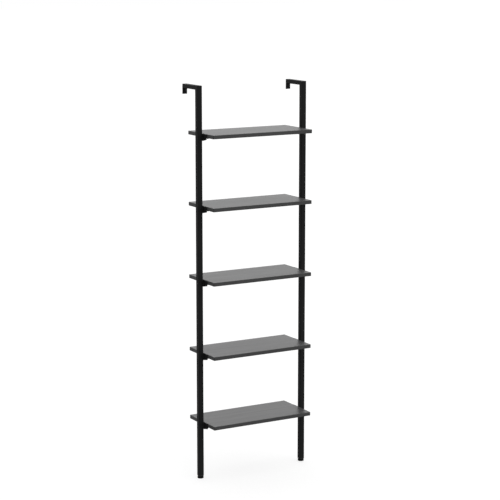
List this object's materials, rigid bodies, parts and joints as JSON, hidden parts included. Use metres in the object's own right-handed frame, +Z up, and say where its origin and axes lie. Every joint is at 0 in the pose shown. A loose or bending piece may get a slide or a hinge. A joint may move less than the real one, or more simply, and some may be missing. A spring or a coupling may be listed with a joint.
{
  "type": "ladder shelf",
  "caption": "Narrow wall-fixed ladder shelf: two square tube uprights with arms to the wall, flat boards on steel brackets and levelling feet.",
  "frame": {"origin": "on the floor, midway between the uprights and midway between the boards' front edge and the wall", "axes": "+X to the user's right, +Y towards the wall, +Z up"},
  "size_m": [0.605, 0.256, 1.918],
  "materials": {
    "black_steel": "fine matt black powder coat",
    "board": "charcoal wood-grain laminate, semi-matt",
    "plug_plastic": "moulded black polyethylene",
    "zinc_steel": "bright zinc plate",
    "foot_rubber": "matt black",
    "screw_steel": "black zinc"
  },
  "bodies": {
    "frame": {"upright_left": "black_steel", "wall_arm_left": "black_steel", "wall_plate_left": "black_steel", "foot_insert_left": "plug_plastic", "board_screws_left": "screw_steel", "upright_right": "black_steel", "wall_arm_right": "black_steel", "wall_plate_right": "black_steel", "foot_insert_right": "plug_plastic", "board_screws_right": "screw_steel", "shelf_board_1": "board", "bracket_plate_left_1": "black_steel", "bracket_tab_left_1": "black_steel", "bracket_plate_right_1": "black_steel", "bracket_tab_right_1": "black_steel", "shelf_board_2": "board", "bracket_plate_left_2": "black_steel", "bracket_tab_left_2": "black_steel", "bracket_plate_right_2": "black_steel", "bracket_tab_right_2": "black_steel", "shelf_board_3": "board", "bracket_plate_left_3": "black_steel", "bracket_tab_left_3": "black_steel", "bracket_plate_right_3": "black_steel", "bracket_tab_right_3": "black_steel", "shelf_board_4": "board", "bracket_plate_left_4": "black_steel", "bracket_tab_left_4": "black_steel", "bracket_plate_right_4": "black_steel", "bracket_tab_right_4": "black_steel", "shelf_board_5": "board", "bracket_plate_left_5": "black_steel", "bracket_tab_left_5": "black_steel", "bracket_plate_right_5": "black_steel", "bracket_tab_right_5": "black_steel"},
    "pad_left": {"foot_pad_left": "foot_rubber"},
    "stud_left": {"foot_stud_left": "zinc_steel"},
    "pad_right": {"foot_pad_right": "foot_rubber"},
    "stud_right": {"foot_stud_right": "zinc_steel"}
  },
  "joints": [
    {"name": "foot_left_level", "type": "slide", "parent": "frame", "child": "pad_left", "axis": [0, 0, -1], "range_m": [0, 0.008]},
    {"name": "foot_left_screw", "type": "hinge", "parent": "pad_left", "child": "stud_left", "pos_m": [-0.2875, -0.0124, 0.0113], "axis": [0, 0, -1], "continuous": true},
    {"name": "foot_right_level", "type": "slide", "parent": "frame", "child": "pad_right", "axis": [0, 0, -1], "range_m": [0, 0.008]},
    {"name": "foot_right_screw", "type": "hinge", "parent": "pad_right", "child": "stud_right", "pos_m": [0.2875, -0.0124, 0.0113], "axis": [0, 0, -1], "continuous": true}
  ],
  "couplings": [
    {"joint": "foot_left_screw", "follows": "foot_left_level", "rad_per_m": 5026.5},
    {"joint": "foot_right_screw", "follows": "foot_right_level", "rad_per_m": 5026.5}
  ]
}
